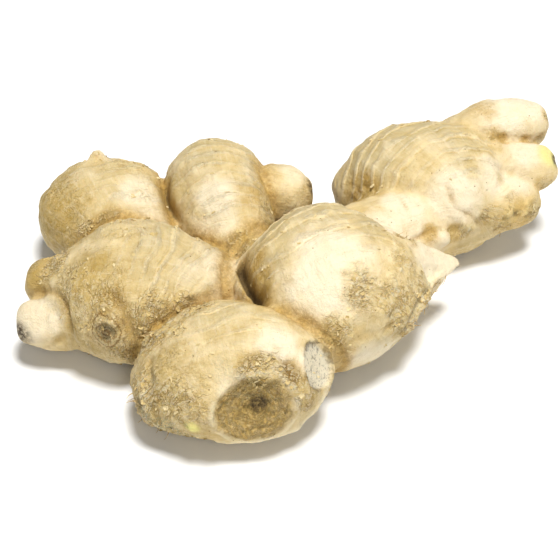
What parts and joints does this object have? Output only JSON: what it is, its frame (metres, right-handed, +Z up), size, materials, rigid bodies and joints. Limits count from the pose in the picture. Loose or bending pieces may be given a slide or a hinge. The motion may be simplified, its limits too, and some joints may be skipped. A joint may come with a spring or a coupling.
{
  "type": "ginger root",
  "caption": "Fresh ginger root: one knobbly hand of plump lobes with short buds, a round stem scar and dry, ringed, papery skin.",
  "frame": {"origin": "middle of the box around the root, on the surface that it rests on", "axes": "+X along the longest side, towards the lobe with three fingers; +Y away from the lobe with the big stem scar; +Z up"},
  "size_m": [0.1784, 0.1433, 0.0477],
  "materials": {
    "ginger_skin": "dry, thin, slightly satin skin with fine rings"
  },
  "bodies": {
    "root": {"ginger_root": "ginger_skin"}
  },
  "joints": []
}
